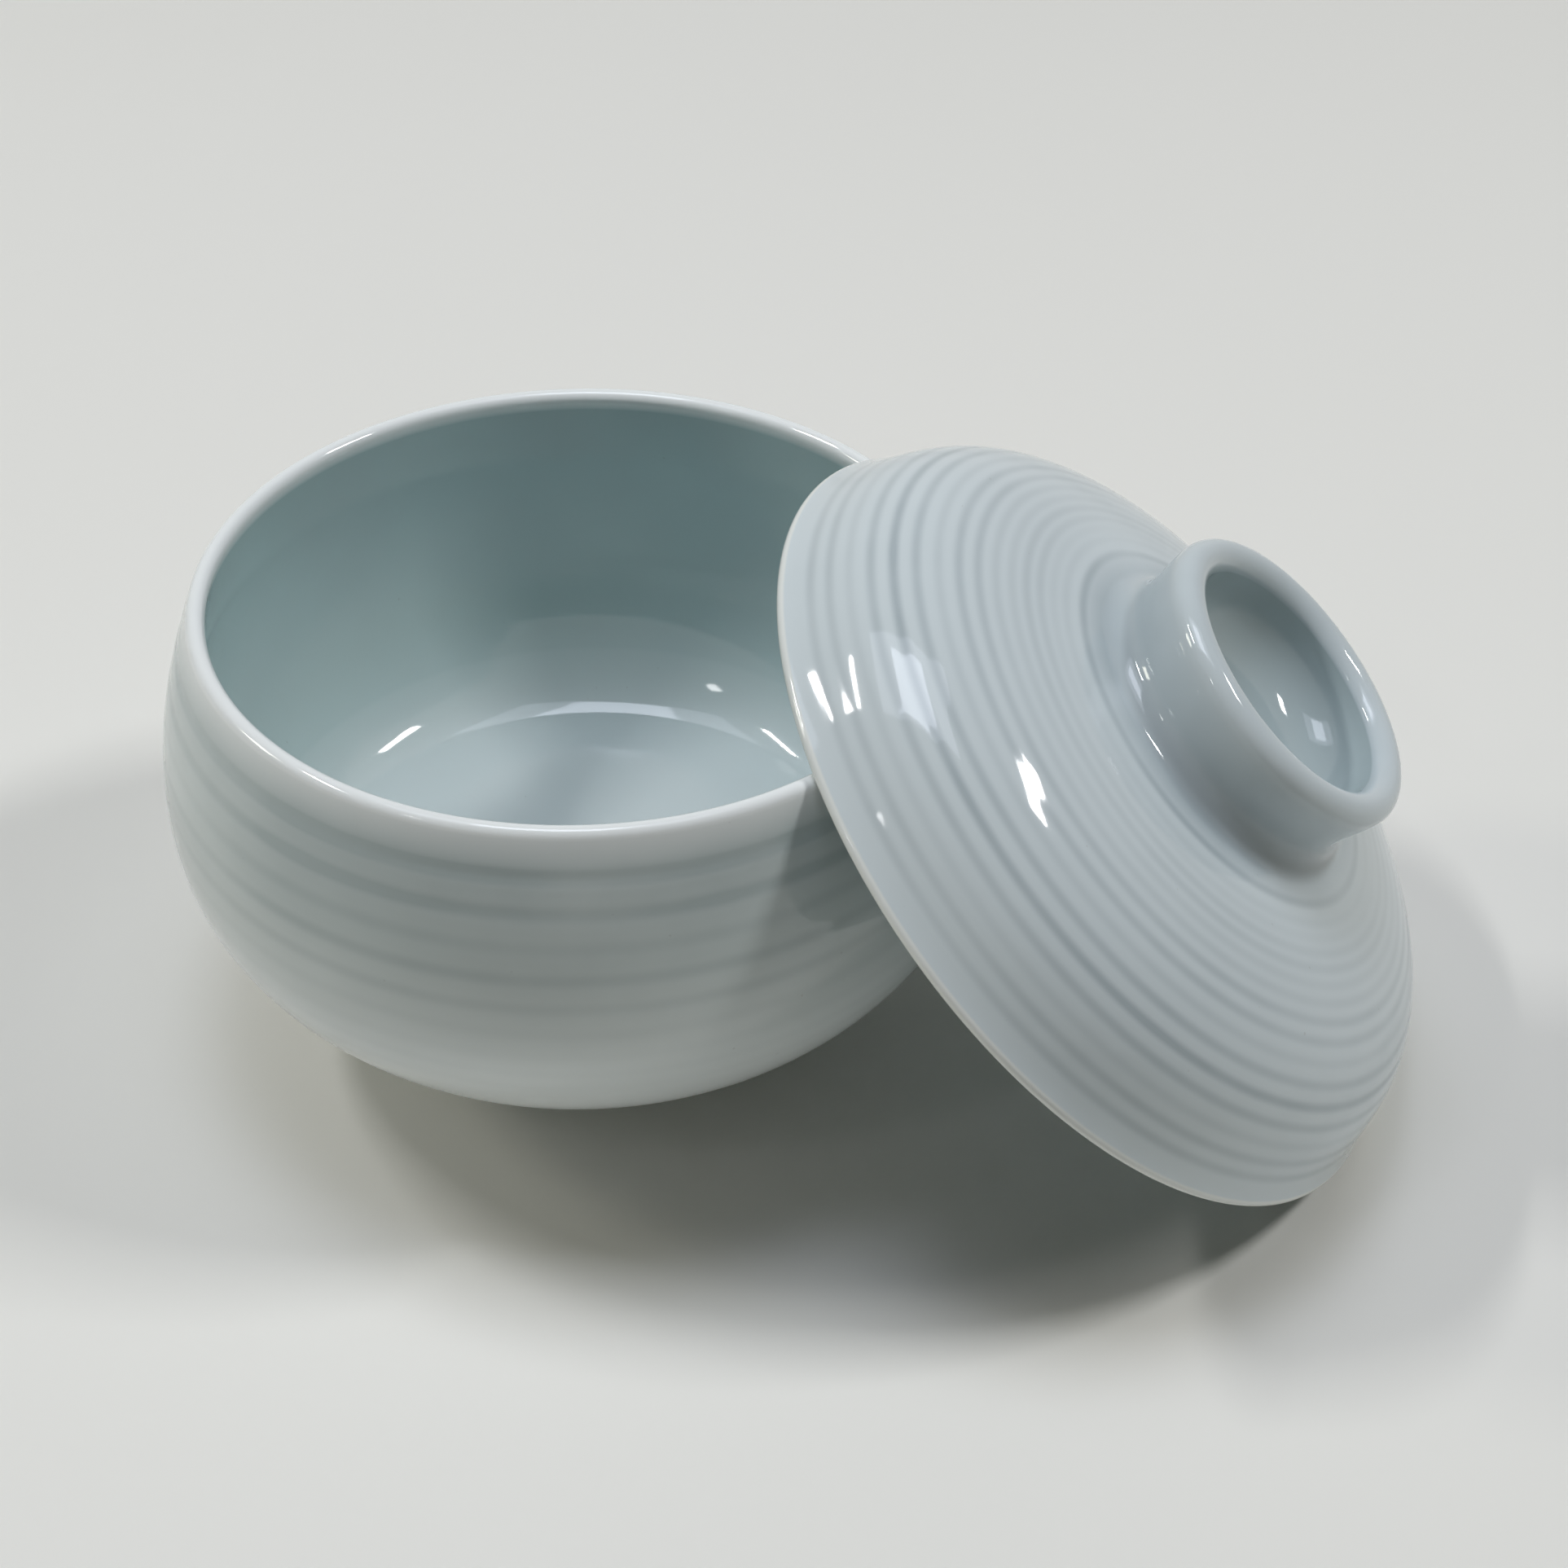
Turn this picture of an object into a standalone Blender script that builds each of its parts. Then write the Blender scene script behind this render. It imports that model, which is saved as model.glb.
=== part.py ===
"""Lidded steaming bowl: a round glazed bowl with ring grooves and a foot ring, and its domed lid
with a hollow ring knob. The lid leans on the bowl's lip with its edge on the table.
Metres, +Z up. The origin is on the table, under the middle of the overall box, and the lid leans
along +X."""

import math

import bpy

MM = 0.001

# Bowl body
BOWL_HEIGHT = 60.4 * MM
BELLY_RADIUS = 50.2 * MM
BELLY_HEIGHT = 36.1 * MM
BOWL_WALL = 3.4 * MM
LIP_RADIUS = 44.2 * MM  # to the middle of the rolled lip
LIP_ROUND = 1.13 * MM
LIP_TAPER = 9.0 * MM  # length over which the wall thins towards the lip
SHOULDER_SLOPE = 20.0  # degrees from upright where the wall meets the lip
SHOULDER_PULL = 11.0 * MM  # handle lengths of the wall's curves
BELLY_PULL_UP = 7.6 * MM
BELLY_PULL_DOWN = 15.7 * MM
BASE_PULL = 15.5 * MM
BASE_SLOPE = 20.0  # degrees from level where the wall meets the foot

# Foot ring and floor
FOOT_RADIUS = 22.4 * MM
FOOT_FLARE = 0.6 * MM
FOOT_HEIGHT = 5.1 * MM
FOOT_WIDTH = 3.0 * MM
FOOT_EDGE = 0.5 * MM
FOOT_RECESS = 3.1 * MM
FLOOR_THICKNESS = 4.3 * MM
FLOOR_PULL = 9.0 * MM

# Lid
LID_OVERHANG = 0.92 * MM  # beyond the belly, all round
RIM_ROUND = 0.81 * MM
RIM_TAPER = 12.0 * MM  # length over which the dome thins towards the rim
RIM_SLOPE = 55.0  # degrees from level where the dome meets the rim
RIM_PULL = 7.1 * MM
DOME_HEIGHT = 21.54 * MM
DOME_WALL = 3.0 * MM
DOME_PULL = 28.5 * MM
DOME_SLOPE = 7.5  # degrees from level where the dome meets the knob
CROWN_PULL = 8.0 * MM

# Ring knob
KNOB_HEIGHT = 11.18 * MM
KNOB_RADIUS = 19.07 * MM
KNOB_TAPER = 0.7 * MM
KNOB_LIP_ROUND = 2.1 * MM
KNOB_FILLET = 3.0 * MM
RECESS_DEPTH = 10.3 * MM
RECESS_FLOOR_RADIUS = 6.0 * MM
RECESS_WALL_PULL = 6.0 * MM
RECESS_FLOOR_PULL = 5.0 * MM

# Ring grooves, counted from the bowl's lip and from the lid's rim
BOWL_GROOVES = 10
BOWL_GROOVE_START = 4.5 * MM
BOWL_GROOVE_PITCH = 3.65 * MM
BOWL_GROOVE_SWING = 1.4 * MM
BOWL_GROOVE_WIDTH = 2.2 * MM
BOWL_GROOVE_DEPTH = 0.2 * MM
BOWL_GROOVE_FADE = 0.75  # each groove's depth beside the one nearer the deepest
BOWL_DEEPEST = 0
LID_GROOVES = 15
LID_GROOVE_START = 4.35 * MM
LID_GROOVE_PITCH = 2.13 * MM
LID_GROOVE_SWING = 1.1 * MM
LID_GROOVE_WIDTH = 1.8 * MM
LID_GROOVE_DEPTH = 0.16 * MM
LID_GROOVE_FADE = 0.87
LID_DEEPEST = 4
NECK_GROOVE_OUT = 2.7 * MM  # from the knob's fillet
NECK_GROOVE_DEPTH = 0.12 * MM
GROOVE_SWING_COUNT = 18  # grooves in one full swing of the spacing
GROOVE_WAVE = 0.85  # radians from groove to groove in the swell of the depth
GROOVE_LEAST = 0.3
LAND_LEAST = 1.5  # pitch, in groove widths, that leaves a flat land between grooves

# How the lid leans
REST_ANGLE = 139.3  # round the lid's rim, from its lowest point to where the lip carries it
TOUCH_GAP = 0.3 * MM

# Faceting
TURN_STEPS = 48
CURVE_POINTS = 120
LIP_POINTS = 7
RIM_POINTS = 6
FLOOR_POINTS = 5
RECESS_POINTS = 6
KNOB_LIP_POINTS = 9
FILLET_POINTS = 5
INSIDE_STEP = 5.5 * MM
PLAIN_STEP = 4.5 * MM
MERGE_DISTANCE = 0.01 * MM
SCAN_STEP = 0.5 * MM
RING_SAMPLES = 720
BISECTIONS = 40

# Derived sizes
LID_RADIUS = BELLY_RADIUS + LID_OVERHANG
RIM_RADIUS = LID_RADIUS - RIM_ROUND
LIP_HEIGHT = BOWL_HEIGHT - LIP_ROUND


def polar(centre, radius, degrees):
    """Point on a circle in the profile's plane, 0 pointing outward and 90 up."""
    angle = math.radians(degrees)
    return (centre[0] + radius * math.cos(angle), centre[1] + radius * math.sin(angle))


def arc(centre, radius, first, last, count):
    """Points on a circular arc, both ends included."""
    return [polar(centre, radius, first + (last - first) * i / (count - 1)) for i in range(count)]


def curve(start, start_handle, end_handle, end, count):
    """Points on a cubic curve, both ends included."""
    knots = (start, start_handle, end_handle, end)
    points = []
    for i in range(count):
        t = i / (count - 1)
        u = 1.0 - t
        weights = (u * u * u, 3.0 * u * u * t, 3.0 * u * t * t, t * t * t)
        points.append(tuple(sum(w * k[axis] for w, k in zip(weights, knots)) for axis in (0, 1)))
    return points


def path_length(path):
    return sum(math.dist(a, b) for a, b in zip(path, path[1:]))


def inset(path, length, depth):
    """Point at a length along a path, moved to the right of its direction of travel by depth."""
    for a, b in zip(path, path[1:]):
        span = math.dist(a, b)
        if length <= span:
            break
        length -= span
    share = min(length / span, 1.0)
    across = ((b[1] - a[1]) / span, (a[0] - b[0]) / span)
    return tuple(a[k] + (b[k] - a[k]) * share + across[k] * depth for k in (0, 1))


def stations(first, last, step):
    """Even places from just after first up to last, no further apart than step."""
    count = max(1, math.ceil((last - first) / step))
    return [first + (last - first) * (i + 1) / count for i in range(count)]


def grown(edge, wall, length, taper):
    """Thickness at a length from the edge, which grows from edge to wall over the taper."""
    return edge + (wall - edge) * min(length / taper, 1.0)


def grooves(count, start, pitch, swing, deepest, depth, fade):
    """Place and depth of each groove: an uneven spacing, and a depth that swells and fades."""
    rings = []
    for i in range(count):
        away = i - deepest
        place = start + pitch * i + swing * math.sin(math.tau * away / GROOVE_SWING_COUNT)
        swell = GROOVE_LEAST + (1.0 - GROOVE_LEAST) * abs(math.cos(GROOVE_WAVE * away))
        rings.append((place, depth * swell * fade ** abs(away)))
    return rings


def grooved(path, rings, width):
    """Points along a path with grooves cut into it, and plain points past the last groove."""
    marks = [(rings[0][0] - width / 2, 0.0)]
    for (place, depth), (following, _) in zip(rings, rings[1:]):
        marks.append((place, depth))
        if following - place > LAND_LEAST * width:
            marks.append((place + width / 2, 0.0))
            marks.append((following - width / 2, 0.0))
        else:
            marks.append(((place + following) / 2, 0.0))
    marks.append(rings[-1])
    marks.append((rings[-1][0] + width / 2, 0.0))
    marks += [(place, 0.0) for place in stations(marks[-1][0], path_length(path), PLAIN_STEP)]
    return [inset(path, place, depth) for place, depth in marks]


def bowl_profile():
    """Half section of the bowl, from the middle of the inside floor over the lip to the underside."""
    lip = (LIP_RADIUS, LIP_HEIGHT)
    lip_over = arc(lip, LIP_ROUND, 180.0 + SHOULDER_SLOPE, SHOULDER_SLOPE, LIP_POINTS)
    shoulder = lip_over[-1]
    belly = (BELLY_RADIUS, BELLY_HEIGHT)
    base = (FOOT_RADIUS + FOOT_FLARE, FOOT_HEIGHT)
    wall = curve(shoulder, polar(shoulder, SHOULDER_PULL, SHOULDER_SLOPE - 90.0),
                 (BELLY_RADIUS, BELLY_HEIGHT + BELLY_PULL_UP), belly, CURVE_POINTS)
    wall += curve(belly, (BELLY_RADIUS, BELLY_HEIGHT - BELLY_PULL_DOWN),
                  polar(base, BASE_PULL, BASE_SLOPE), base, CURVE_POINTS)[1:]

    inside = []
    for place in stations(0.0, path_length(wall), INSIDE_STEP):
        inside.append(inset(wall, place, grown(2 * LIP_ROUND, BOWL_WALL, place, LIP_TAPER)))
    floor_z = FOOT_RECESS + FLOOR_THICKNESS
    floor = curve((0.0, floor_z), (FLOOR_PULL, floor_z),
                  polar(inside[-1], FLOOR_PULL, 180.0 + BASE_SLOPE), inside[-1], FLOOR_POINTS)

    rings = grooves(BOWL_GROOVES, BOWL_GROOVE_START, BOWL_GROOVE_PITCH, BOWL_GROOVE_SWING,
                    BOWL_DEEPEST, BOWL_GROOVE_DEPTH, BOWL_GROOVE_FADE)
    outside = grooved(wall, rings, BOWL_GROOVE_WIDTH)

    foot_inside = FOOT_RADIUS - FOOT_WIDTH
    foot = [(FOOT_RADIUS, FOOT_EDGE), (FOOT_RADIUS - FOOT_EDGE, 0.0), (foot_inside + FOOT_EDGE, 0.0),
            (foot_inside, FOOT_EDGE), (foot_inside - FOOT_EDGE, FOOT_RECESS), (0.0, FOOT_RECESS)]
    return floor[:-1] + inside[::-1] + lip_over + outside + foot


def lid_profile():
    """Half section of the lid, rim at the bottom, from the middle of the knob's recess over the
    knob and the dome to the underside."""
    top_z = DOME_HEIGHT + KNOB_HEIGHT
    recess_z = top_z - RECESS_DEPTH
    knob_lip = (KNOB_RADIUS - KNOB_LIP_ROUND, top_z - KNOB_LIP_ROUND)
    knob_over = arc(knob_lip, KNOB_LIP_ROUND, 180.0, 0.0, KNOB_LIP_POINTS)
    recess_wall = knob_over[0]
    recess = curve((RECESS_FLOOR_RADIUS, recess_z), (RECESS_FLOOR_RADIUS + RECESS_FLOOR_PULL, recess_z),
                   (recess_wall[0], recess_wall[1] - RECESS_WALL_PULL), recess_wall, RECESS_POINTS)
    fillet = (KNOB_RADIUS - KNOB_TAPER + KNOB_FILLET, DOME_HEIGHT + KNOB_FILLET)
    neck = arc(fillet, KNOB_FILLET, 180.0, 270.0 - DOME_SLOPE, FILLET_POINTS)

    rim = (RIM_RADIUS, RIM_ROUND)
    rim_under = arc(rim, RIM_ROUND, 90.0 - RIM_SLOPE, -90.0 - RIM_SLOPE, RIM_POINTS)
    dome = curve(neck[-1], polar(neck[-1], DOME_PULL, -DOME_SLOPE),
                 polar(rim_under[0], RIM_PULL, 180.0 - RIM_SLOPE), rim_under[0], CURVE_POINTS)
    length = path_length(dome)
    rings = grooves(LID_GROOVES, LID_GROOVE_START, LID_GROOVE_PITCH, LID_GROOVE_SWING,
                    LID_DEEPEST, LID_GROOVE_DEPTH, LID_GROOVE_FADE)
    outward = [(length - place, depth) for place, depth in reversed(rings)]
    outside = grooved(dome, [(NECK_GROOVE_OUT, NECK_GROOVE_DEPTH)] + outward, LID_GROOVE_WIDTH)

    under = []
    for place in stations(0.0, length, INSIDE_STEP):
        under.append(inset(dome, length - place, grown(2 * RIM_ROUND, DOME_WALL, place, RIM_TAPER)))
    crown_z = recess_z - DOME_WALL
    crown = curve(under[-1], polar(under[-1], CROWN_PULL, 180.0 - DOME_SLOPE),
                  (CROWN_PULL, crown_z), (0.0, crown_z), FLOOR_POINTS)
    return ([(0.0, recess_z)] + recess + knob_over[1:] + neck + outside[:-1] + rim_under + under
            + crown[1:])


def rim_gap(reach, height, tilt):
    """Least distance between the middle lines of the lid's rim and of the bowl's lip."""
    least = math.inf
    for i in range(RING_SAMPLES):
        angle = math.tau * i / RING_SAMPLES
        along = RIM_RADIUS * math.cos(angle)
        side = RIM_RADIUS * math.sin(angle)
        radius = math.hypot(reach + along * math.cos(tilt), side)
        level = height - along * math.sin(tilt)
        least = min(least, math.hypot(radius - LIP_RADIUS, level - LIP_HEIGHT))
    return least


def lean():
    """Tilt of the lid, and the distance and height of its rim's middle from the bowl's foot, with
    the rim's lowest point on the table and its upper part carried by the lip."""
    lowest = RIM_ROUND + TOUCH_GAP
    rise = RIM_RADIUS * (1.0 - math.cos(math.radians(REST_ANGLE)))
    tilt = math.asin((BOWL_HEIGHT - lowest) / rise)
    height = lowest + RIM_RADIUS * math.sin(tilt)
    touching = RIM_ROUND + LIP_ROUND + TOUCH_GAP
    near = LIP_RADIUS + RIM_RADIUS
    while rim_gap(near, height, tilt) > touching:
        near -= SCAN_STEP
    far = near + SCAN_STEP
    for _ in range(BISECTIONS):
        reach = (near + far) / 2
        if rim_gap(reach, height, tilt) > touching:
            far = reach
        else:
            near = reach
    return tilt, far, height


def glaze(name, colour, roughness):
    """Glossy glazed ceramic."""
    material = bpy.data.materials.new(name)
    material.use_nodes = True
    shader = material.node_tree.nodes["Principled BSDF"]
    shader.inputs["Base Color"].default_value = (*colour, 1.0)
    shader.inputs["Roughness"].default_value = roughness
    shader.inputs["Metallic"].default_value = 0.0
    material.diffuse_color = (*colour, 1.0)
    return material


def turned(name, profile, material, collection):
    """Solid turned about Z from a half section that begins and ends on the axis."""
    mesh = bpy.data.meshes.new(name)
    edges = [(i, i + 1) for i in range(len(profile) - 1)]
    mesh.from_pydata([(x, 0.0, z) for x, z in profile], edges, [])
    mesh.materials.append(material)
    part = bpy.data.objects.new(name, mesh)
    collection.objects.link(part)
    screw = part.modifiers.new("turn", "SCREW")
    screw.axis = "Z"
    screw.angle = math.tau
    screw.steps = TURN_STEPS
    screw.render_steps = TURN_STEPS
    screw.use_merge_vertices = True
    screw.merge_threshold = MERGE_DISTANCE
    screw.use_smooth_shade = True
    return part


def main():
    for item in list(bpy.data.objects):
        bpy.data.objects.remove(item, do_unlink=True)
    collection = bpy.data.collections.new("steaming_bowl")
    bpy.context.scene.collection.children.link(collection)

    bowl_section = bowl_profile()
    lid_section = lid_profile()
    bowl = turned("bowl", bowl_section, glaze("bowl_glaze", (0.72, 0.77, 0.77), 0.10), collection)
    lid = turned("lid", lid_section, glaze("lid_glaze", (0.74, 0.79, 0.79), 0.10), collection)

    tilt, reach, height = lean()
    lid_x = reach - RIM_ROUND * math.sin(tilt)
    lid_z = height - RIM_ROUND * math.cos(tilt)
    left = -max(x for x, z in bowl_section)
    right = lid_x + max(x * math.cos(tilt) + z * math.sin(tilt) for x, z in lid_section)

    stand = bpy.data.objects.new("stand", None)
    stand.location = (-(left + right) / 2, 0.0, 0.0)
    collection.objects.link(stand)
    lid_rest = bpy.data.objects.new("lid_rest", None)
    lid_rest.parent = stand
    lid_rest.location = (lid_x, 0.0, lid_z)
    lid_rest.rotation_euler = (0.0, tilt, 0.0)
    collection.objects.link(lid_rest)
    bowl.parent = stand
    lid.parent = lid_rest


main()
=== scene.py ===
import bmesh
import bpy
import math
from mathutils import Matrix, Vector


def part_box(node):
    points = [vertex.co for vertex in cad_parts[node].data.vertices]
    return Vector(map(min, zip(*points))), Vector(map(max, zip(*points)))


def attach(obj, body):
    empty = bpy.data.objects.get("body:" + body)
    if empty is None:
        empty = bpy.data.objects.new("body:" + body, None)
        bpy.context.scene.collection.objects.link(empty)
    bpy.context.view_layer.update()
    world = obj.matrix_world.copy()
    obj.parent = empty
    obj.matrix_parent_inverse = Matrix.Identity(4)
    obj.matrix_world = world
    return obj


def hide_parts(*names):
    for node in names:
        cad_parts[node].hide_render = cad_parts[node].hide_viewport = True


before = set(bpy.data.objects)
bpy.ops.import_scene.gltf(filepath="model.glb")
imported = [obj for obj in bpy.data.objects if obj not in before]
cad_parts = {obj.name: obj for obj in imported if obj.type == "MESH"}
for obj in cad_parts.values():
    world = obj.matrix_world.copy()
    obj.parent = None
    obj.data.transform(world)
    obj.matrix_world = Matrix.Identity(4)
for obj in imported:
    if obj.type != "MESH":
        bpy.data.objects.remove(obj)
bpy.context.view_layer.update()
print("frame loaded")

mm = 0.001
mergeGap = 0.000002


# camera, at the photograph's place
cameraLook = {
    "place": (0.032655, -0.252041, 0.238495), "turn": (51.204, -1.060, 8.663),
    "lens": 61.714, "sensor": 36.0, "nearest": 0.01,
}


def makeCamera(look):
    data = bpy.data.cameras.new("photoCamera")
    data.sensor_width = look["sensor"]
    data.lens = look["lens"]
    data.clip_start = look["nearest"]
    camera = bpy.data.objects.new("photoCamera", data)
    camera.location = look["place"]
    camera.rotation_euler = [math.radians(a) for a in look["turn"]]
    bpy.context.scene.collection.objects.link(camera)
    bpy.context.scene.camera = camera


makeCamera(cameraLook)
print("camera set")


# turned sections: points are (radius, height) in millimetres, 0 degrees is outward and 90 is up
def polar(centre, radius, degrees):
    angle = math.radians(degrees)
    return (centre[0] + radius * math.cos(angle), centre[1] + radius * math.sin(angle))


def arc(centre, radius, first, last, count):
    return [polar(centre, radius, first + (last - first) * i / (count - 1)) for i in range(count)]


def curve(start, startHandle, endHandle, end, count):
    knots = [Vector(p) for p in (start, startHandle, endHandle, end)]
    points = []
    for i in range(count):
        t = i / (count - 1)
        u = 1.0 - t
        weights = (u ** 3, 3 * u * u * t, 3 * u * t * t, t ** 3)
        p = sum((knot * weight for knot, weight in zip(knots, weights)), Vector((0.0, 0.0)))
        points.append((p.x, p.y))
    return points


def lengthsAlong(path):
    lengths = [0.0]
    for a, b in zip(path, path[1:]):
        lengths.append(lengths[-1] + math.dist(a, b))
    return lengths


# point at a length along the path, moved across it, to the right of its travel
def inset(path, lengths, place, depth):
    k = 1
    while k < len(path) - 1 and lengths[k] < place:
        k += 1
    a, b = path[k - 1], path[k]
    span = lengths[k] - lengths[k - 1]
    share = min(max((place - lengths[k - 1]) / span, 0.0), 1.0)
    across = ((b[1] - a[1]) / span, (a[0] - b[0]) / span)
    return tuple(a[j] + (b[j] - a[j]) * share + across[j] * depth for j in (0, 1))


# wall thickness that grows from the edge's round to the full wall over the taper
def thickness(place, edgeRound, wall, taper):
    return 2 * edgeRound + (wall - 2 * edgeRound) * min(place / taper, 1.0)


# ring grooves left by the turner's tool: uneven spacing, depth that swells and fades
grooveHand = {"swingCount": 18, "wave": 0.85, "least": 0.3}


def grooveRings(g):
    least = grooveHand["least"]
    rings = []
    for i in range(g["count"]):
        away = i - g["deepest"]
        drift = g["swing"] * math.sin(math.tau * away / grooveHand["swingCount"])
        swell = least + (1 - least) * abs(math.cos(grooveHand["wave"] * away))
        rings.append((g["start"] + g["pitch"] * i + drift, g["depth"] * swell * g["fade"] ** abs(away)))
    return rings


# depth of the soft-sided grooves at a place along the wall
def grooveDip(rings, width, place):
    depth = 0.0
    for ring, deep in rings:
        away = abs(place - ring) / (width / 2)
        if away < 1.0:
            depth += deep * (0.5 + 0.5 * math.cos(math.pi * away))
    return depth


# a section point is radius and height, then its marks: pooled glaze and painted shade, thin glaze and painted
# light, the inside glaze, darker as painted shade, and bare clay
markNames = ("poolAndShade", "edge", "inside", "bare")


def plain(points, poolAndShade=0.0, edge=0.0, inside=0.0, bare=0.0):
    return [(x, z, poolAndShade, edge, inside, bare) for x, z in points]


# marks that go from one value to another along the points
def graded(points, poolAndShade=(0.0, 0.0), edge=(0.0, 0.0), inside=(0.0, 0.0)):
    marked = []
    for i, (x, z) in enumerate(points):
        share = i / (len(points) - 1)
        marks = [a + (b - a) * share for a, b in (poolAndShade, edge, inside)]
        marked.append((x, z, *marks, 0.0))
    return marked


def turnPiece(name, section, steps, place, material):
    bm = bmesh.new()
    layers = [bm.verts.layers.float.new(n) for n in markNames]
    last = None
    for x, z, *marks in section:
        v = bm.verts.new((x * mm, 0.0, z * mm))
        for layer, mark in zip(layers, marks):
            v[layer] = mark
        if last is not None:
            bm.edges.new((last, v))
        last = v
    bmesh.ops.spin(bm, geom=bm.verts[:] + bm.edges[:], axis=(0, 0, 1), cent=(0, 0, 0),
                   angle=math.tau, steps=steps, use_merge=True)
    bmesh.ops.remove_doubles(bm, verts=bm.verts, dist=mergeGap)
    bmesh.ops.recalc_face_normals(bm, faces=bm.faces)
    bmesh.ops.transform(bm, matrix=place, verts=bm.verts)
    mesh = bpy.data.meshes.new(name)
    bm.to_mesh(mesh)
    bm.free()
    mesh.shade_smooth()
    mesh.materials.append(material)
    piece = bpy.data.objects.new(name, mesh)
    bpy.context.scene.collection.objects.link(piece)
    return piece


# node helpers
def noiseNode(nodes, links, scale, detail):
    coords = nodes.new("ShaderNodeTexCoord")
    cloud = nodes.new("ShaderNodeTexNoise")
    cloud.inputs["Scale"].default_value = scale
    cloud.inputs["Detail"].default_value = detail
    links.new(coords.outputs["Object"], cloud.inputs["Vector"])
    return cloud.outputs["Fac"]


def rangeNode(nodes, links, value, span, ends, interpolation="LINEAR"):
    ranged = nodes.new("ShaderNodeMapRange")
    ranged.interpolation_type = interpolation
    for name, number in zip(("From Min", "From Max", "To Min", "To Max"), (*span, *ends)):
        ranged.inputs[name].default_value = number
    links.new(value, ranged.inputs["Value"])
    return ranged.outputs["Result"]


def mathNode(nodes, links, operation, first, second, clamp=False):
    node = nodes.new("ShaderNodeMath")
    node.operation = operation
    node.use_clamp = clamp
    links.new(first, node.inputs[0])
    links.new(second, node.inputs[1])
    return node.outputs[0]


# each side is a colour or another node's output; 6, 7 and 2 are the mix node's colour sockets
def mixNode(nodes, links, factor, first, second):
    mix = nodes.new("ShaderNodeMix")
    mix.data_type = "RGBA"
    links.new(factor, mix.inputs["Factor"])
    for socket, side in ((mix.inputs[6], first), (mix.inputs[7], second)):
        if isinstance(side, bpy.types.NodeSocket):
            links.new(side, socket)
        else:
            socket.default_value = (*side, 1)
    return mix.outputs[2]


def markNode(nodes, name):
    mark = nodes.new("ShaderNodeAttribute")
    mark.attribute_name = name
    return mark.outputs["Fac"]


# glaze: one group for both pieces, so that they match as a set
glazeGroupLook = {
    "cloudScale": 38.0, "cloudDetail": 3.0, "cloudSpan": (0.3, 0.7),
    "drift": (-0.05, 0.09), "uneven": (0.55, 1.2),
    "speckScale": 900.0, "speckDetail": 1.0, "speckSpan": (0.80, 0.84), "speckDepth": (0.0, 0.2),
    "speckColour": (0.23, 0.21, 0.19), "rippleScale": 160.0, "rippleDetail": 2.0,
}


def makeGlazeGroup(look):
    group = bpy.data.node_groups.new("pooledGlaze", "ShaderNodeTree")
    for name in ("PoolAndShade", "EdgeAndLight"):
        group.interface.new_socket(name=name, in_out="INPUT", socket_type="NodeSocketFloat")
    for name in ("Thin", "Body", "Deep"):
        group.interface.new_socket(name=name, in_out="INPUT", socket_type="NodeSocketColor")
    group.interface.new_socket(name="Colour", in_out="OUTPUT", socket_type="NodeSocketColor")
    group.interface.new_socket(name="Height", in_out="OUTPUT", socket_type="NodeSocketFloat")
    nodes, links = group.nodes, group.links
    goesIn = nodes.new("NodeGroupInput").outputs
    goesOut = nodes.new("NodeGroupOutput").inputs

    # slow drift in the glaze's thickness, and lines that swell and fade round the piece
    cloud = noiseNode(nodes, links, look["cloudScale"], look["cloudDetail"])
    drift = rangeNode(nodes, links, cloud, look["cloudSpan"], look["drift"])
    uneven = rangeNode(nodes, links, cloud, look["cloudSpan"], look["uneven"])
    # the pool mark darkens towards the Deep colour: pooled glaze in the grooves, and painted shade where a
    # piece's marks put it
    poolAndShade = mathNode(nodes, links, "MULTIPLY", goesIn["PoolAndShade"], uneven)
    poolAndShade = mathNode(nodes, links, "ADD", poolAndShade, drift, clamp=True)
    colour = mixNode(nodes, links, poolAndShade, goesIn["Body"], goesIn["Deep"])
    # the edge mark pales towards the Thin colour: thin glaze on the rims, and painted light on the bowl's
    # floor, low wall and lip shoulder
    colour = mixNode(nodes, links, goesIn["EdgeAndLight"], colour, goesIn["Thin"])

    # a few iron specks
    speck = noiseNode(nodes, links, look["speckScale"], look["speckDetail"])
    speck = rangeNode(nodes, links, speck, look["speckSpan"], look["speckDepth"])
    links.new(mixNode(nodes, links, speck, colour, look["speckColour"]), goesOut["Colour"])

    # faint unevenness of the fired surface
    links.new(noiseNode(nodes, links, look["rippleScale"], look["rippleDetail"]), goesOut["Height"])
    return group


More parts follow.
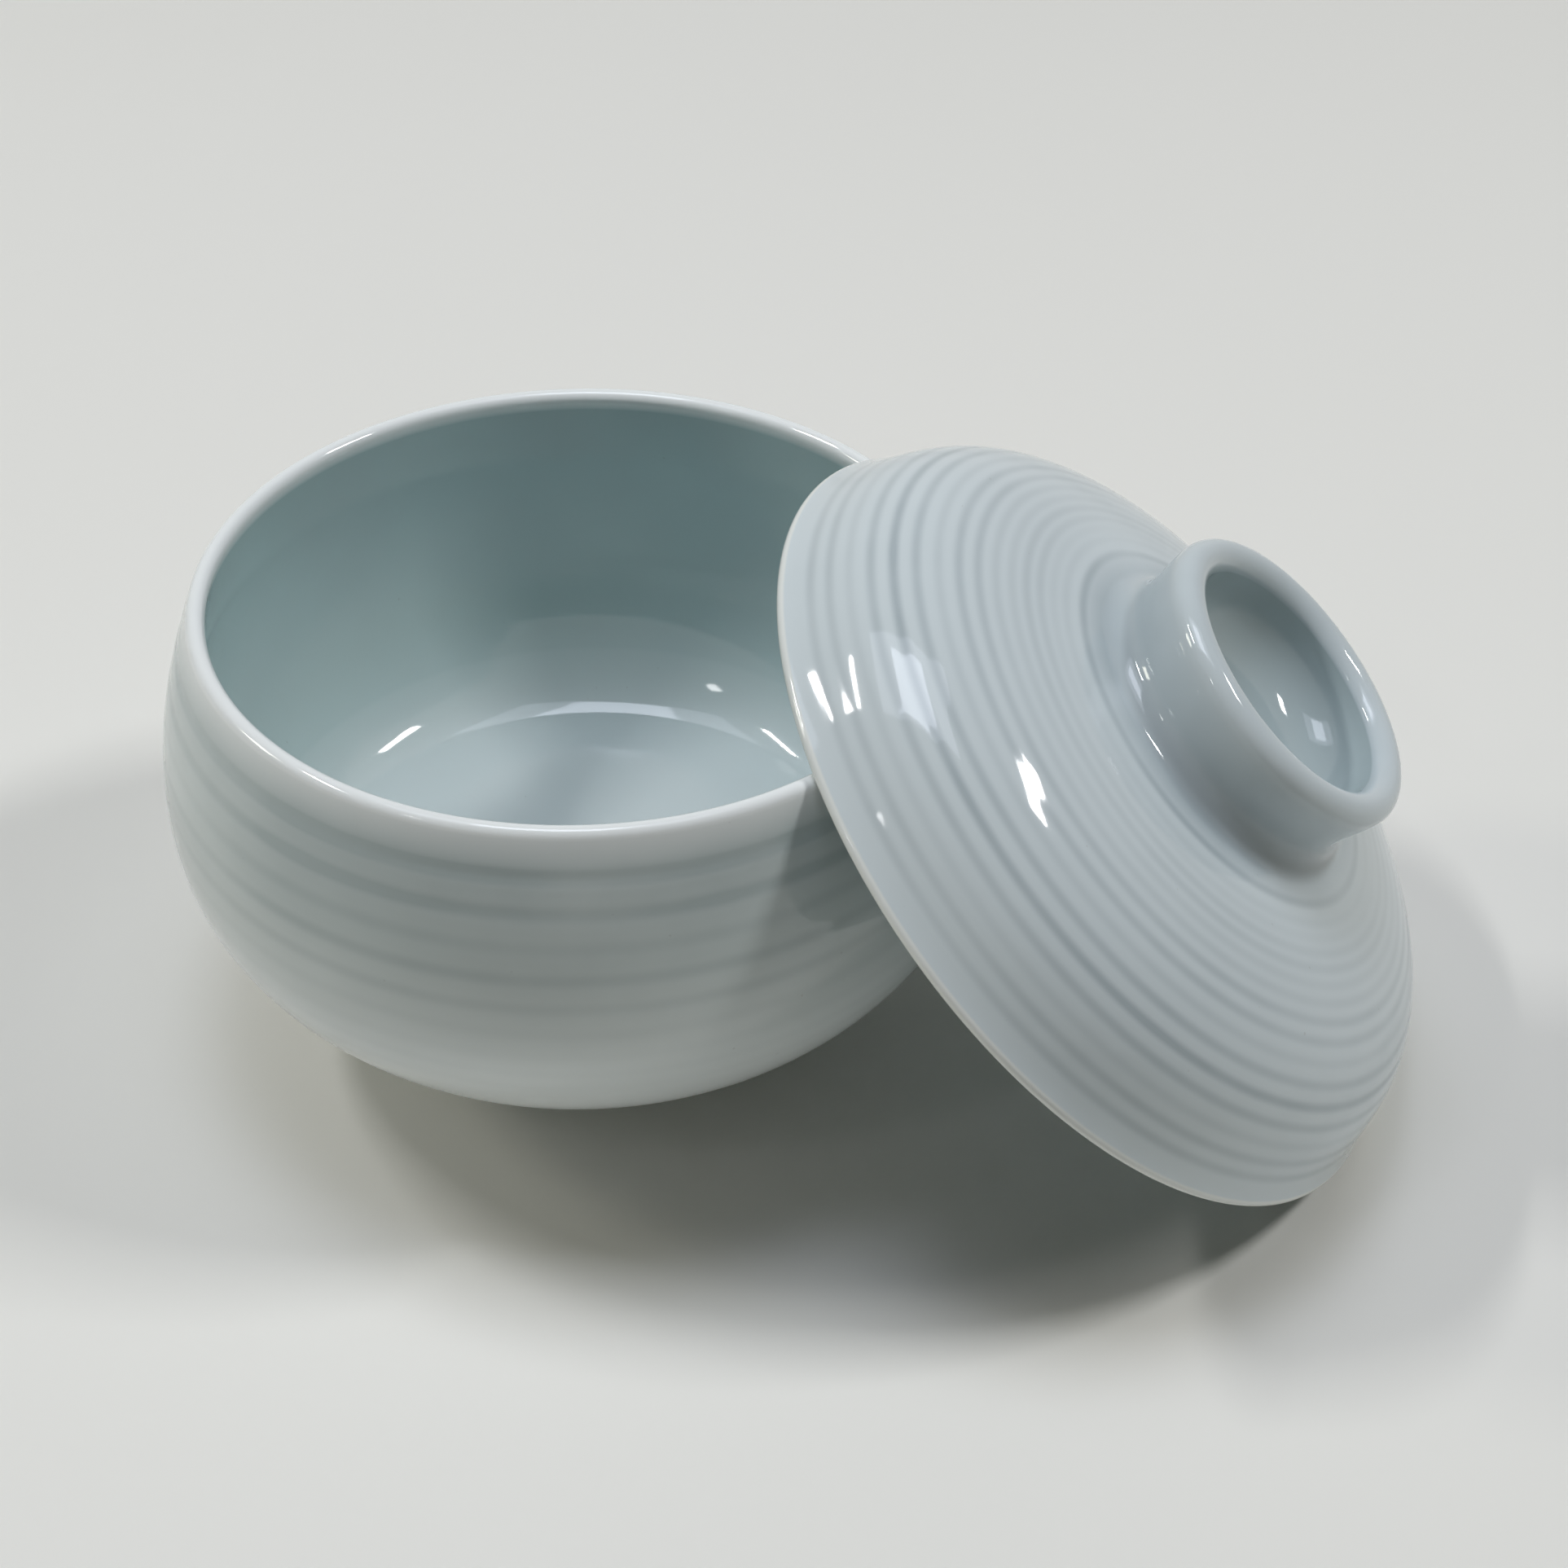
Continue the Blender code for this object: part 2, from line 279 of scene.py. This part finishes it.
def makeGlaze(name, look, group):
    material = bpy.data.materials.new(name)
    material.use_nodes = True
    nodes, links = material.node_tree.nodes, material.node_tree.links
    shader = nodes["Principled BSDF"]
    glaze = nodes.new("ShaderNodeGroup")
    glaze.node_tree = group
    for key in ("Thin", "Deep"):
        glaze.inputs[key].default_value = (*look[key], 1)
    # the glaze lies thicker and greener inside; the inside colour is also darker, painted shade in the bowl's
    # hollow and the lid's recess and underside
    body = mixNode(nodes, links, markNode(nodes, "inside"), look["Body"], look["inside"])
    links.new(body, glaze.inputs["Body"])
    links.new(markNode(nodes, "poolAndShade"), glaze.inputs["PoolAndShade"])
    links.new(markNode(nodes, "edge"), glaze.inputs["EdgeAndLight"])
    # bare clay on the foot ring's edge
    bare = markNode(nodes, "bare")
    links.new(mixNode(nodes, links, bare, glaze.outputs["Colour"], look["clay"]), shader.inputs["Base Color"])
    rough = rangeNode(nodes, links, bare, (0.0, 1.0), (look["roughness"], look["clayRoughness"]))
    links.new(rough, shader.inputs["Roughness"])
    bump = nodes.new("ShaderNodeBump")
    bump.inputs["Strength"].default_value = look["ripple"]
    bump.inputs["Distance"].default_value = look["rippleHeight"]
    links.new(glaze.outputs["Height"], bump.inputs["Height"])
    links.new(bump.outputs["Normal"], shader.inputs["Normal"])
    shader.inputs["IOR"].default_value = look["ior"]
    return material


glazeGroup = makeGlazeGroup(glazeGroupLook)
firedLook = {
    "clay": (0.72, 0.67, 0.58), "roughness": 0.06, "clayRoughness": 0.7,
    "ripple": 0.05, "rippleHeight": 0.0002, "ior": 1.5,
}
# the inside colours are a greener glaze, made darker as painted shade for the hollows
bowlGlazeLook = {
    **firedLook, "Thin": (0.88, 0.91, 0.91), "Body": (0.655, 0.72, 0.715),
    "Deep": (0.43, 0.50, 0.505), "inside": (0.47, 0.62, 0.63),
}
lidGlazeLook = {
    **firedLook, "Thin": (0.83, 0.85, 0.81), "Body": (0.645, 0.715, 0.74),
    "Deep": (0.42, 0.485, 0.515), "inside": (0.44, 0.52, 0.535),
}
bowlGlaze = makeGlaze("bowlGlaze", bowlGlazeLook, glazeGroup)
lidGlaze = makeGlaze("lidGlaze", lidGlazeLook, glazeGroup)
print("glaze made")


# bowl, sizes in millimetres
bowlSettings = {
    "height": 60.4, "belly": (50.2, 36.1), "wall": 3.4,
    "lipRadius": 44.2, "lipRound": 1.13, "lipTaper": 9.0,
    "shoulderSlope": 20.0, "shoulderPull": 11.0, "bellyPullUp": 7.6, "bellyPullDown": 15.7,
    "basePull": 15.5, "baseSlope": 20.0,
    "floorHeight": 7.9, "floorPull": 10.0, "floorEdge": (34.5, 15.1), "floorSlope": 18.5,
    "floorEdgePull": 17.0, "cornerTop": 21.5, "cornerPull": 3.4,
    "footRadius": 22.4, "footFlare": 0.6, "footHeight": 5.1, "footWidth": 3.0, "footEdge": 0.5,
    "footRecess": 3.1, "footFillet": 0.8, "footFilletDrop": 0.6, "footFilletTurn": (130, 180),
    "footWaist": (0.35, 3.0), "footBareTop": (0.1, 1.2), "recessFillet": 0.6, "recessRings": 6,
    "lipPoints": 17, "wallPoints": 160, "floorPoints": 24, "cornerPoints": 16,
    "filletPoints": 5, "edgePoints": 6,
    "step": 0.3, "insideStep": 1.0, "turns": 192,
    "grooves": {
        "count": 10, "start": 4.5, "pitch": 3.65, "swing": 1.4,
        "width": 2.8, "depth": 0.07, "fade": 0.75, "deepest": 0,
    },
    "marks": {
        # the grooved band, darker also as painted shade; the pale low wall, thinner glaze and painted light
        "bandPoolAndShade": 0.7, "bandEnd": 30.0, "pale": 0.75, "paleFrom": 0.5,
        # pale thin glaze on the lip, reaching down the shoulder as painted light
        "lipPaleAndLight": 0.8, "lipReach": 3.5, "lipEdge": 0.9,
        # painted light on the floor, pale in its middle; painted shade up the inside wall, darker towards the
        # lip
        "floorEdge": (0.7, 0.1), "floorInsideAndLight": (0.0, 0.6),
        "wallPaintedShade": (0.0, 0.45), "wallInsideAndShade": (0.6, 1.0),
    },
}


def bowlInside(s, wall, lengths):
    inside = []
    count = int(lengths[-1] / s["insideStep"])
    for i in range(1, count + 1):
        place = lengths[-1] * i / count
        thick = thickness(place, s["lipRound"], s["wall"], s["lipTaper"])
        inside.append(inset(wall, lengths, place, thick))
    return [p for p in inside if p[1] > s["cornerTop"]]


# from the middle of the floor, round the corner, to the inside wall's low end
def bowlFloor(s, wallEnd, wallBefore):
    cornerWay = math.degrees(math.atan2(wallEnd[1] - wallBefore[1], wallEnd[0] - wallBefore[0]))
    floorZ, floorEdge = s["floorHeight"], s["floorEdge"]
    floor = curve((0, floorZ), (s["floorPull"], floorZ),
                  polar(floorEdge, s["floorEdgePull"], 180 + s["floorSlope"]), floorEdge, s["floorPoints"])
    floor += curve(floorEdge, polar(floorEdge, s["cornerPull"], s["floorSlope"]),
                   polar(wallEnd, s["cornerPull"], cornerWay), wallEnd, s["cornerPoints"])[1:]
    return floor


def bowlOutside(s, wall, lengths):
    g, m = s["grooves"], s["marks"]
    rings = grooveRings(g)
    outside = []
    count = int(lengths[-1] / s["step"])
    for i in range(1, count):
        place = lengths[-1] * i / count
        dip = grooveDip(rings, g["width"], place)
        x, z = inset(wall, lengths, place, dip)
        # thicker glaze over the grooved band, thinner low on the wall and at the lip; the band is also
        # painted shade on the upper wall, and the paleness low on the wall and over the lip's shoulder is
        # also painted light
        bandPoolAndShade = m["bandPoolAndShade"] * max(1.0 - place / m["bandEnd"], 0.0)
        pale = m["pale"] * min(max(place / m["bandEnd"] - m["paleFrom"], 0.0), 1.0)
        pale = max(pale, m["lipPaleAndLight"] * (1.0 - place / m["lipReach"]))
        outside.append((x, z, min(bandPoolAndShade + dip / g["depth"], 1.0), pale, 0.0, 0.0))
    return outside


def bowlFoot(s, base):
    footOut, footIn = s["footRadius"], s["footRadius"] - s["footWidth"]
    edge, fillet, recessFillet = s["footEdge"], s["footFillet"], s["recessFillet"]
    waistOut, waistZ = s["footWaist"]
    bareOut, bareZ = s["footBareTop"]
    foot = plain(arc((base[0] + fillet, base[1] - s["footFilletDrop"]), fillet,
                     *s["footFilletTurn"], s["filletPoints"]))
    foot += plain([(footOut + waistOut, waistZ), (footOut + bareOut, bareZ)])
    foot += plain(arc((footOut - edge, edge), edge, 0, -90, s["edgePoints"]), bare=1.0)
    foot += plain(arc((footIn + edge, edge), edge, -90, -180, s["edgePoints"]), bare=1.0)
    foot += plain([(footIn - bareOut, bareZ)])
    foot += plain(arc((footIn - edge - recessFillet, s["footRecess"] - recessFillet), recessFillet,
                      0, 90, s["filletPoints"]))
    rings = s["recessRings"]
    return foot + plain([(footIn * k / rings, s["footRecess"]) for k in reversed(range(rings))])


def makeBowl(s):
    lip = (s["lipRadius"], s["height"] - s["lipRound"])
    lipOver = arc(lip, s["lipRound"], 180 + s["shoulderSlope"], s["shoulderSlope"], s["lipPoints"])
    shoulder = lipOver[-1]
    bellyR, bellyZ = s["belly"]
    base = (s["footRadius"] + s["footFlare"], s["footHeight"])
    wall = curve(shoulder, polar(shoulder, s["shoulderPull"], s["shoulderSlope"] - 90),
                 (bellyR, bellyZ + s["bellyPullUp"]), s["belly"], s["wallPoints"])
    wall += curve(s["belly"], (bellyR, bellyZ - s["bellyPullDown"]),
                  polar(base, s["basePull"], s["baseSlope"]), base, s["wallPoints"])[1:]
    lengths = lengthsAlong(wall)
    inside = bowlInside(s, wall, lengths)
    floor = bowlFloor(s, inside[-1], inside[-2])

    m = s["marks"]
    # the floor painted paler in its middle, the inside wall painted darker towards the lip
    section = graded(floor[:-1], edge=m["floorEdge"], inside=m["floorInsideAndLight"])
    section += graded(inside[::-1], poolAndShade=m["wallPaintedShade"], inside=m["wallInsideAndShade"])
    section += plain(lipOver, edge=m["lipEdge"]) + bowlOutside(s, wall, lengths) + bowlFoot(s, base)

    low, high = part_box("bowl")
    place = Matrix.Translation(((low[0] + high[0]) / 2, 0, 0))
    bowl = turnPiece("bowlFine", section, s["turns"], place, bowlGlaze)
    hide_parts("bowl")
    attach(bowl, "bowl")


makeBowl(bowlSettings)
print("bowl turned")


# lid, sizes in millimetres, place in metres
lidSettings = {
    "radius": 51.12, "rimRound": 0.81, "rimTaper": 12.0, "rimSlope": 55.0, "rimPull": 7.1,
    "domeHeight": 21.54, "domeWall": 3.0, "domePull": 28.5, "domeSlope": 7.5, "crownPull": 8.0,
    "knobHeight": 11.18, "knobRadius": 19.07, "knobTaper": 0.7, "knobLip": 2.1,
    "knobWallPull": 2.0, "knobFillet": 3.0,
    "recessDepth": 10.3, "recessFloor": 6.0, "recessWallPull": 6.0, "recessFloorPull": 5.0, "recessRings": 5,
    "knobLipPoints": 25, "recessPoints": 24, "neckPoints": 14, "knobWallPoints": 10,
    "rimPoints": 13, "domePoints": 240, "crownPoints": 22,
    "step": 0.25, "insideStep": 1.0, "turns": 192,
    "tilt": 42.0909, "place": (0.035003, 0.0, 0.034232),
    "grooves": {
        "count": 15, "start": 4.35, "pitch": 2.13, "swing": 1.1,
        "width": 2.0, "depth": 0.02, "fade": 0.87, "deepest": 4,
        "neckOut": 2.7, "neckDepth": 0.013,
    },
    "marks": {
        # pooled glaze and painted shade round the knob's foot and down its wall
        "neckPoolAndShade": 0.9, "neckReach": 3.5, "knobLipPool": 0.3, "knobWallPoolAndShade": (0.5, 0.9), "rimEdge": 0.8,
    },
}


# the grooves are counted from the rim, the dome's length from the knob
def lidOutside(s, dome, lengths):
    g, m = s["grooves"], s["marks"]
    total = lengths[-1]
    rings = [(total - place, depth) for place, depth in grooveRings(g)]
    rings.append((g["neckOut"], g["neckDepth"]))
    outside = []
    count = int(total / s["step"])
    for i in range(1, count):
        place = total * i / count
        dip = grooveDip(rings, g["width"], place)
        x, z = inset(dome, lengths, place, dip)
        # darker round the knob's foot: pooled glaze and painted shade
        neckPoolAndShade = m["neckPoolAndShade"] * max(1.0 - place / m["neckReach"], 0.0)
        outside.append((x, z, min(neckPoolAndShade + dip / g["depth"], 1.0), 0.0, 0.0, 0.0))
    return outside


# from the rim, up the hollow, to the middle under the knob
def lidUnder(s, dome, lengths, crownZ):
    total = lengths[-1]
    under = []
    count = int(total / s["insideStep"])
    for i in range(1, count + 1):
        place = total * i / count
        thick = thickness(place, s["rimRound"], s["domeWall"], s["rimTaper"])
        under.append(inset(dome, lengths, total - place, thick))
    crown = curve(under[-1], polar(under[-1], s["crownPull"], 180 - s["domeSlope"]),
                  (s["crownPull"], crownZ), (0, crownZ), s["crownPoints"])
    return under + crown[1:]


def makeLid(s):
    topZ = s["domeHeight"] + s["knobHeight"]
    recessZ = topZ - s["recessDepth"]
    knobLip = (s["knobRadius"] - s["knobLip"], topZ - s["knobLip"])
    knobOver = arc(knobLip, s["knobLip"], 180, 0, s["knobLipPoints"])
    knobIn, knobOut = knobOver[0], knobOver[-1]
    rings = s["recessRings"]
    recess = [(s["recessFloor"] * k / rings, recessZ) for k in range(rings)]
    recess += curve((s["recessFloor"], recessZ), (s["recessFloor"] + s["recessFloorPull"], recessZ),
                    (knobIn[0], knobIn[1] - s["recessWallPull"]), knobIn, s["recessPoints"])
    fillet = (s["knobRadius"] - s["knobTaper"] + s["knobFillet"], s["domeHeight"] + s["knobFillet"])
    neck = arc(fillet, s["knobFillet"], 180, 270 - s["domeSlope"], s["neckPoints"])
    knobWall = curve(knobOut, (knobOut[0], knobOut[1] - s["knobWallPull"]),
                     (neck[0][0], neck[0][1] + s["knobWallPull"]), neck[0], s["knobWallPoints"])

    rim = (s["radius"] - s["rimRound"], s["rimRound"])
    rimUnder = arc(rim, s["rimRound"], 90 - s["rimSlope"], -90 - s["rimSlope"], s["rimPoints"])
    dome = curve(neck[-1], polar(neck[-1], s["domePull"], -s["domeSlope"]),
                 polar(rimUnder[0], s["rimPull"], 180 - s["rimSlope"]), rimUnder[0], s["domePoints"])
    lengths = lengthsAlong(dome)

    m = s["marks"]
    section = plain(recess, inside=1.0) + plain(knobOver[1:], poolAndShade=m["knobLipPool"])
    # the knob's wall darker towards its foot: pooled glaze and painted shade
    section += graded(knobWall[1:-1], poolAndShade=m["knobWallPoolAndShade"])
    section += graded(neck, poolAndShade=(m["knobWallPoolAndShade"][1], m["neckPoolAndShade"]))
    section += lidOutside(s, dome, lengths) + plain(rimUnder, edge=m["rimEdge"])
    section += plain(lidUnder(s, dome, lengths, recessZ - s["domeWall"]), inside=1.0)

    place = Matrix.Translation(s["place"]) @ Matrix.Rotation(math.radians(s["tilt"]), 4, "Y")
    lid = turnPiece("lidFine", section, s["turns"], place, lidGlaze)
    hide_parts("lid")
    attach(lid, "lid")


makeLid(lidSettings)
print("lid turned")


# table and background
skyLook = {"seen": (0.68, 0.68, 0.655), "light": (0.03, 0.029, 0.017)}
tableLook = {
    "size": 3.0, "pale": (0.87, 0.865, 0.83), "warm": (0.84, 0.832, 0.79), "roughness": 0.55,
    "cloudScale": 3.5, "cloudDetail": 2.0, "fade": (0.42, 0.95), "far": skyLook["seen"],
}


# 1 for what the camera sees, straight or mirrored in the glaze
def seenMask(nodes, links):
    path = nodes.new("ShaderNodeLightPath").outputs
    return mathNode(nodes, links, "MAXIMUM", path["Is Camera Ray"], path["Is Glossy Ray"])


def makeTable(look):
    bm = bmesh.new()
    bmesh.ops.create_grid(bm, x_segments=1, y_segments=1, size=look["size"])
    mesh = bpy.data.meshes.new("table")
    bm.to_mesh(mesh)
    bm.free()
    material = bpy.data.materials.new("tablePaper")
    material.use_nodes = True
    nodes, links = material.node_tree.nodes, material.node_tree.links
    shader = nodes["Principled BSDF"]
    cloud = noiseNode(nodes, links, look["cloudScale"], look["cloudDetail"])
    links.new(mixNode(nodes, links, cloud, look["pale"], look["warm"]), shader.inputs["Base Color"])
    shader.inputs["Roughness"].default_value = look["roughness"]

    # far off, the table fades into the background
    coords = nodes.new("ShaderNodeTexCoord")
    away = nodes.new("ShaderNodeVectorMath")
    away.operation = "LENGTH"
    links.new(coords.outputs["Object"], away.inputs[0])
    fade = rangeNode(nodes, links, away.outputs["Value"], look["fade"], (0.0, 1.0), "SMOOTHSTEP")
    far = nodes.new("ShaderNodeEmission")
    far.inputs["Color"].default_value = (*look["far"], 1)
    blend = nodes.new("ShaderNodeMixShader")
    links.new(mathNode(nodes, links, "MULTIPLY", fade, seenMask(nodes, links)), blend.inputs["Fac"])
    links.new(shader.outputs["BSDF"], blend.inputs[1])
    links.new(far.outputs["Emission"], blend.inputs[2])
    links.new(blend.outputs["Shader"], nodes["Material Output"].inputs["Surface"])
    mesh.materials.append(material)
    table = bpy.data.objects.new("table", mesh)
    bpy.context.scene.collection.objects.link(table)


def makeSky(look):
    world = bpy.data.worlds.new("room")
    world.use_nodes = True
    nodes, links = world.node_tree.nodes, world.node_tree.links
    colour = mixNode(nodes, links, seenMask(nodes, links), look["light"], look["seen"])
    links.new(colour, nodes["Background"].inputs["Color"])
    bpy.context.scene.world = world


makeTable(tableLook)
makeSky(skyLook)
print("table and background set")


# a lamp's share is its part of the light that a white table gives back in the middle
white, cool, warm = (1.0, 1.0, 1.0), (0.93, 0.99, 1.13), (1.0, 0.98, 0.85)
lampLook = {
    "right": {"place": (0.78, 0.17, 0.98), "size": (0.09, 0.28), "share": 0.245, "colour": white},
    "left": {"place": (-0.70, 0.06, 0.98), "size": (0.035, 0.30), "share": 0.18, "colour": white},
    "leftFront": {"place": (-0.68, -0.78, 0.98), "size": (0.08, 0.13), "share": 0.012, "colour": white},
    "top": {"place": (-0.12, 0.07, 1.04), "size": (0.30, 0.34), "share": 0.13, "colour": cool},
    "topWide": {"place": (-0.12, 0.10, 1.06), "size": (0.72, 0.46), "share": 0.15, "colour": cool},
    "farLeft": {"place": (-1.56, 0.00, 0.98), "size": (0.33, 0.33), "share": 0.065, "colour": warm},
}


# lamps turn about Y only, so that the strips stay level
def makeLamp(name, look):
    place = Vector(look["place"])
    reach = math.hypot(place.x, place.z)
    data = bpy.data.lights.new(name, "AREA")
    data.shape = "RECTANGLE"
    data.size, data.size_y = look["size"]
    data.color = look["colour"]
    data.energy = look["share"] * math.pi ** 2 * place.length ** 4 / (place.z * reach)
    lamp = bpy.data.objects.new(name, data)
    lamp.location = place
    lamp.rotation_euler = (0, math.atan2(place.x, place.z), 0)
    bpy.context.scene.collection.objects.link(lamp)


for lampName, lampSetting in lampLook.items():
    makeLamp(lampName + "Lamp", lampSetting)
bpy.context.scene.view_settings.view_transform = "Standard"
print("lamps set")
